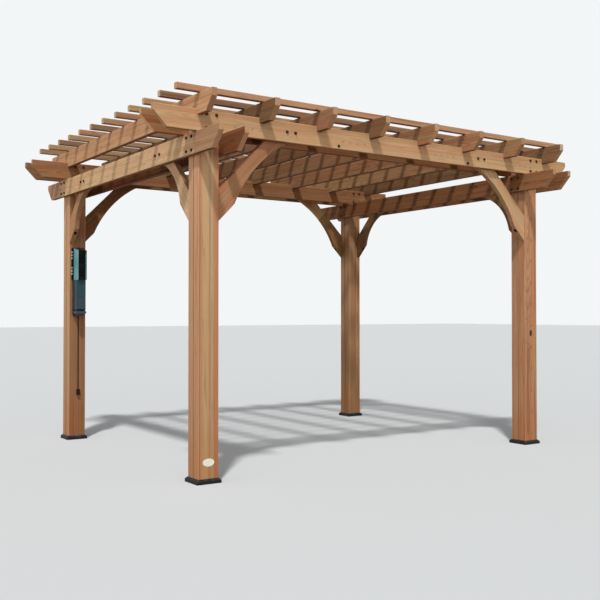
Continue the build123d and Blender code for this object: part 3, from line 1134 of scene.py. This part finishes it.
def housing_enamel(power):
    """Blue grey enamel with a paler lid, a dark left side and gap, and a pale ledge."""
    finish = Finish("housing_enamel")
    place = finish.place()
    height = finish.split(place).other("Z")
    cloud = finish.noise(finish.vector_sum("MULTIPLY", place, (30.0, 30.0, 9.0)), 3.0)
    smear = finish.noise(finish.vector_sum("MULTIPLY", place, (160.0, 160.0, 20.0)))
    facing = finish.split(finish.normal())
    lower = finish.fall(height, LID_SEAM - 0.002, LID_SEAM + 0.002)
    highlit_top = finish.ramp(facing.other("Z"), -0.2, 0.5)
    # painted reflection: teal above the lid seam, blue grey below
    now = finish.mix(lower, power.lid_reflection, power.drawer_reflection)
    now = finish.mix(finish.ramp(cloud, 0.35, 0.70) * 0.30, now, shade(power.drawer_reflection, 0.7))
    now = finish.mix(finish.fall(facing, -0.9, -0.6) * 0.9, now, power.side)
    # painted shade in the gap above the tray
    now = finish.mix(finish.within(height, *SHADED_TRAY_GAP, 0.0005), now, power.enamel)
    # painted highlight on the ledge's upward faces
    now = finish.mix(finish.within(height, *TRAY_LEDGE, 0.0005) * highlit_top, now, power.ledge_highlight)
    return finish.surface(
        base_color=now,
        roughness=0.24 + smear * 0.14,
        specular_ior_level=0.2,
    )


def socket_faces(power, low, high):
    """Two mouldings in the hood's recess, each with two round faces."""
    mesh = bmesh.new()
    middle = (low.x + high.x) / 2
    recess = low.y + HOOD_RECESS
    front = recess - power.outlet_depth
    half_width, half_height = power.outlet_width / 2, power.outlet_height / 2
    radius = power.outlet_diameter / 2
    disc = ((0, 0), (radius, 0), (radius, 0.0015), (radius - 0.001, 0.0022), (0, 0.0022))
    for height in OUTLET_HEIGHTS:
        foot = (middle - half_width, front, height - half_height)
        block(mesh, foot, (middle + half_width, recess, height + half_height), 0.002)
        for lift in (-half_height / 2, half_height / 2):
            turned(mesh, disc, 24, facing_place((middle, front, height + lift), -ALONG_Y))
    return mesh


def hinge_knuckles(power, left, back):
    """Two hinges of three turned knuckles, which stand on the flange."""
    mesh = bmesh.new()
    radius = power.knuckle_diameter / 2
    ease = radius * 0.2
    tall = power.knuckle_length
    barrel = ((0, 0), (radius - ease, 0), (radius, ease))
    barrel += ((radius, tall - ease), (radius - ease, tall), (0, tall))
    for foot in HINGE_FEET:
        for step in range(3):
            spot = (left + radius * 0.4, back, foot + step * (tall + power.knuckle_gap))
            turned(mesh, barrel, 20, Matrix.Translation(spot))
    return mesh


class PERGOLA_OT_power_box(bpy.types.Operator):
    """Finish the power box and its hood, and add sockets and hinge knuckles"""

    bl_idname = "pergola.power_box"
    bl_label = "Power box"

    def execute(self, context):
        power = settings("power")
        dress("socket_hood", hood_enamel(power))
        dress("power_box", housing_enamel(power))
        low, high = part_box("socket_hood")
        outlet_skin = moulding(
            "socket_moulding",
            power.socket,
            change=1.6,
            share=0.3,
            fine=1200.0,
            roughness=(0.45, 0.2),
            relief=0.0001,
            specular_ior_level=0.08,
        )
        new_piece("socket_faces", socket_faces(power, low, high), outlet_skin)
        knuckle_skin = moulding(
            "knuckle_moulding",
            power.knuckle,
            change=0.8,
            share=0.4,
            fine=400.0,
            roughness=(0.4, 0.15),
        )
        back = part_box("power_box")[1].y - HINGE_STAND
        new_piece("hinge_knuckles", hinge_knuckles(power, low.x, back), knuckle_skin)
        return {"FINISHED"}


class PERGOLA_OT_lead(bpy.types.Operator):
    """Finish the lead"""

    bl_idname = "pergola.lead"
    bl_label = "Lead"

    def execute(self, context):
        sheath = moulding(
            "lead_sheath",
            settings("power").sheath,
            change=1.8,
            share=0.4,
            fine=800.0,
            roughness=(0.55, 0.2),
            patches=40.0,
            relief=0.0001,
            specular_ior_level=0.15,
        )
        dress("power_lead", sheath)
        return {"FINISHED"}


class PERGOLA_OT_plate(bpy.types.Operator):
    """Add the bare oval plate near the foot of the front left post"""

    bl_idname = "pergola.plate"
    bl_label = "Oval plate"

    def execute(self, context):
        plate = settings("plate")
        low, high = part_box("post_front_left")
        place = facing_place(((low.x + high.x) / 2, low.y, plate.middle), -ALONG_Y)
        thick, half = plate.thickness, plate.width / 2
        ease = thick * 0.4
        inner, sunk = half - plate.rim, thick - ease * 0.8
        profile = ((0, 0), (half, 0), (half, thick - ease), (half - ease, thick))
        profile += ((inner, thick), (inner - ease, sunk), (0, sunk))
        mesh = bmesh.new()
        oval = Matrix.Diagonal((1, plate.height / plate.width, 1, 1))
        turned(mesh, profile, 64, place @ oval)
        finish = Finish("plate_enamel")
        spot = finish.place()
        cloud = finish.grit(spot, 70.0, 3.0)
        worn = finish.ramp(cloud, 0.45, 0.8) * 0.35
        material = finish.surface(
            base_color=finish.mix(worn, plate.face, shade(plate.face, 0.78)),
            roughness=0.28 + finish.grit(spot, 900.0) * 0.2,
            coat_weight=0.3,
        )
        new_piece("oval_plate", mesh, material)
        return {"FINISHED"}


class PERGOLA_OT_stage(bpy.types.Operator):
    """Set the floor, the light and the camera"""

    bl_idname = "pergola.stage"
    bl_label = "Stage"

    def execute(self, context):
        stage = settings("stage")
        scene = context.scene
        mesh = bmesh.new()
        bmesh.ops.create_grid(mesh, x_segments=1, y_segments=1, size=stage.floor_size / 2)
        data = bpy.data.meshes.new("floor")
        mesh.to_mesh(data)
        mesh.free()
        finish = Finish("floor_paint")
        data.materials.append(
            finish.surface(
                base_color=finish.mix(finish.seen(), stage.floor_bounce, stage.floor),
                roughness=0.9,
                specular_ior_level=0.1,
            )
        )
        floor = bpy.data.objects.new("floor", data)
        scene.collection.objects.link(floor)

        # The sky lights the timber from low down and the front left, and shows as a plain backdrop
        sky = Finish("sky", "worlds")
        way = sky.node("ShaderNodeTexCoord", output="Generated")
        climb = sky.ramp(sky.split(way).other("Z"), 0.0, SKY_TURN, stage.sky_low, stage.sky_high)
        level = climb * (sky.dot(way, stage.sky_lean) + 1.0)
        glow = {"Color": paint(stage.sky), "Strength": level}
        soft = sky.node("ShaderNodeBackground", None, glow)
        backdrop = sky.node("ShaderNodeBackground", None, {"Color": paint(stage.backdrop)})
        chosen = sky.node("ShaderNodeMixShader", None, [sky.seen(), soft, backdrop])
        sky.node("ShaderNodeOutputWorld", None, {"Surface": chosen})
        scene.world = sky.made

        light = bpy.data.lights.new("key", "SUN")
        light.energy = stage.sun_strength
        light.color = stage.sun
        light.angle = stage.sun_spread
        lamp = bpy.data.objects.new("key", light)
        lamp.rotation_euler = Vector(SUN_FROM).to_track_quat("Z", "Y").to_euler()
        scene.collection.objects.link(lamp)

        view = bpy.data.cameras.new("camera")
        view.lens = CAMERA_LENS
        view.sensor_width = CAMERA_SENSOR
        view.clip_end = CAMERA_REACH
        camera = bpy.data.objects.new("camera", view)
        camera.location = CAMERA_PLACE
        camera.rotation_euler = (radians(90 + CAMERA_RISE), 0, radians(-CAMERA_YAW))
        scene.collection.objects.link(camera)
        scene.camera = camera
        scene.view_settings.view_transform = "Standard"
        return {"FINISHED"}


class PERGOLA_PT_looks(bpy.types.Panel):
    """Lists the steps that dress the pergola"""

    bl_label = "Pergola"
    bl_idname = "PERGOLA_PT_looks"
    bl_space_type = "VIEW_3D"
    bl_region_type = "UI"
    bl_category = "Pergola"

    def draw(self, context):
        for operator in OPERATORS:
            self.layout.operator(operator.bl_idname)
        for name, group in SETTINGS.items():
            column = self.layout.column(heading=group.__doc__)
            for key in group.__annotations__:
                column.prop(settings(name), key)


OPERATORS = (
    PERGOLA_OT_stage,
    PERGOLA_OT_posts,
    PERGOLA_OT_beams,
    PERGOLA_OT_braces,
    PERGOLA_OT_rafters,
    PERGOLA_OT_purlins,
    PERGOLA_OT_skirts,
    PERGOLA_OT_bolts,
    PERGOLA_OT_power_box,
    PERGOLA_OT_lead,
    PERGOLA_OT_plate,
)


def register():
    for group in SETTINGS.values():
        bpy.utils.register_class(group)
    for name, group in SETTINGS.items():
        setattr(bpy.types.Scene, f"pergola_{name}", PointerProperty(type=group))
    for operator in OPERATORS:
        bpy.utils.register_class(operator)
    bpy.utils.register_class(PERGOLA_PT_looks)


def unregister():
    bpy.utils.unregister_class(PERGOLA_PT_looks)
    for operator in reversed(OPERATORS):
        bpy.utils.unregister_class(operator)
    for name in SETTINGS:
        delattr(bpy.types.Scene, f"pergola_{name}")
    for group in SETTINGS.values():
        bpy.utils.unregister_class(group)


def main():
    register()
    for operator in OPERATORS:
        family, step = operator.bl_idname.split(".")
        getattr(getattr(bpy.ops, family), step)()


if __name__ == "__main__":
    main()
